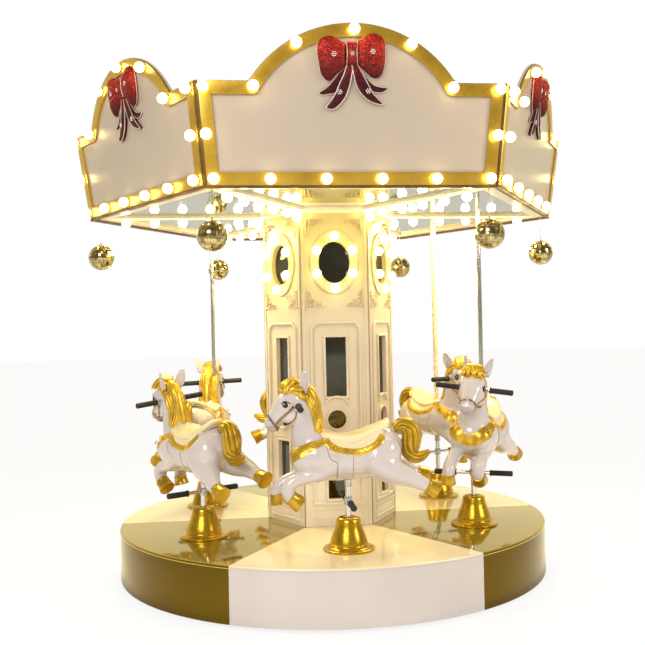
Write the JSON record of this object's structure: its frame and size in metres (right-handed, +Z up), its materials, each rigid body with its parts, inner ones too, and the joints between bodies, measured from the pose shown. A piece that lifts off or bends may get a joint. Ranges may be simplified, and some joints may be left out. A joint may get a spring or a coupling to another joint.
{
  "type": "six-seat pony carousel",
  "caption": "Turning round deck with six sliding ponies on posts, a mirrored six-sided column and an arched, bulb-trimmed canopy with hanging mirror balls.",
  "frame": {"origin": "on the floor under the turning axis, centre of the base's footprint", "axes": "+Z up along the turning axis; -Y is the front, through seat 1; +X runs through the canopy corner between seats 2 and 3"},
  "size_m": [2.6058, 2.34, 2.4976],
  "materials": {
    "frame_steel": "satin",
    "mirror": "polished",
    "cream_board": "satin",
    "roof_board": "matt",
    "white_shell": "gloss",
    "gold_shell": "gloss",
    "gold_paint": "gloss",
    "cream_panel": "satin",
    "fascia_board": "satin",
    "mirror_ball": "polished",
    "horse_shell": "gloss",
    "plated_steel": "polished",
    "rubber_grip": "matt"
  },
  "bodies": {
    "chassis": {"base_frame": "frame_steel"},
    "rotor": {"turntable_frame": "frame_steel", "mirror_core": "mirror", "soffit_frame": "cream_board", "soffit_mirror": "mirror", "roof_deck": "roof_board", "deck_sector_1": "white_shell", "deck_sector_2": "gold_shell", "deck_sector_3": "white_shell", "deck_sector_4": "gold_shell", "deck_sector_5": "white_shell", "deck_sector_6": "gold_shell", "bell_1": "gold_paint", "bell_2": "gold_paint", "bell_3": "gold_paint", "bell_4": "gold_paint", "bell_5": "gold_paint", "bell_6": "gold_paint", "column_panel_1": "cream_panel", "column_panel_2": "cream_panel", "column_panel_3": "cream_panel", "column_panel_4": "cream_panel", "column_panel_5": "cream_panel", "column_panel_6": "cream_panel", "fascia_panel_1": "fascia_board", "fascia_panel_2": "fascia_board", "fascia_panel_3": "fascia_board", "fascia_panel_4": "fascia_board", "fascia_panel_5": "fascia_board", "fascia_panel_6": "fascia_board", "mirror_ball_1": "mirror_ball", "mirror_ball_2": "mirror_ball", "mirror_ball_3": "mirror_ball", "mirror_ball_4": "mirror_ball", "mirror_ball_5": "mirror_ball", "mirror_ball_6": "mirror_ball"},
    "horse_1": {"horse_1_body": "horse_shell", "horse_1_post": "plated_steel", "horse_1_handlebar": "rubber_grip"},
    "horse_2": {"horse_2_body": "horse_shell", "horse_2_post": "plated_steel", "horse_2_handlebar": "rubber_grip", "horse_2_rod": "plated_steel"},
    "horse_3": {"horse_3_body": "horse_shell", "horse_3_post": "plated_steel", "horse_3_handlebar": "rubber_grip"},
    "horse_4": {"horse_4_body": "horse_shell", "horse_4_post": "plated_steel", "horse_4_handlebar": "rubber_grip"},
    "horse_5": {"horse_5_body": "horse_shell", "horse_5_post": "plated_steel", "horse_5_handlebar": "rubber_grip", "horse_5_rod": "plated_steel"},
    "horse_6": {"horse_6_body": "horse_shell", "horse_6_post": "plated_steel", "horse_6_handlebar": "rubber_grip"}
  },
  "joints": [
    {"name": "deck_turn", "type": "hinge", "parent": "chassis", "child": "rotor", "pos_m": [0, 0, 0.14], "axis": [0, 0, 1], "continuous": true},
    {"name": "horse_1_slide", "type": "slide", "parent": "rotor", "child": "horse_1", "axis": [0, 0, 1], "range_m": [-0.035, 0.065]},
    {"name": "horse_2_slide", "type": "slide", "parent": "rotor", "child": "horse_2", "axis": [0, 0, 1], "range_m": [-0.073, 0.027]},
    {"name": "horse_3_slide", "type": "slide", "parent": "rotor", "child": "horse_3", "axis": [0, 0, 1], "range_m": [-0.076, 0.024]},
    {"name": "horse_4_slide", "type": "slide", "parent": "rotor", "child": "horse_4", "axis": [0, 0, 1], "range_m": [-0.08, 0.02]},
    {"name": "horse_5_slide", "type": "slide", "parent": "rotor", "child": "horse_5", "axis": [0, 0, 1], "range_m": [-0.071, 0.029]},
    {"name": "horse_6_slide", "type": "slide", "parent": "rotor", "child": "horse_6", "axis": [0, 0, 1], "range_m": [-0.035, 0.065]}
  ]
}
